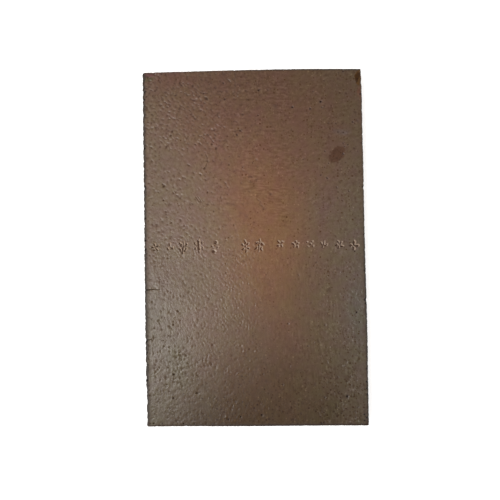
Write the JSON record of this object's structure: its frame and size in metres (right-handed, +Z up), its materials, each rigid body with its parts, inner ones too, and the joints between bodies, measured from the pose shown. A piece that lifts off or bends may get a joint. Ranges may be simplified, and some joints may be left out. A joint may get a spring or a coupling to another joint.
{
  "type": "creasing tile",
  "caption": "Flat rectangular fired-clay creasing tile with no nibs or holes, bedded in mortar as a projecting course that throws water clear of a wall.",
  "frame": {"origin": "middle of the bed face, the flat underside", "axes": "+X across the 165 mm width, +Y along the 265 mm length, +Z up through the thickness, from the bed face to the upper face"},
  "size_m": [0.165, 0.265, 0.012],
  "materials": {
    "fired_clay": "brown brindled vitrified clay, smooth wire-cut face with an orange-peel skin and a low sheen"
  },
  "bodies": {
    "root": {"creasing_tile": "fired_clay"}
  },
  "joints": []
}
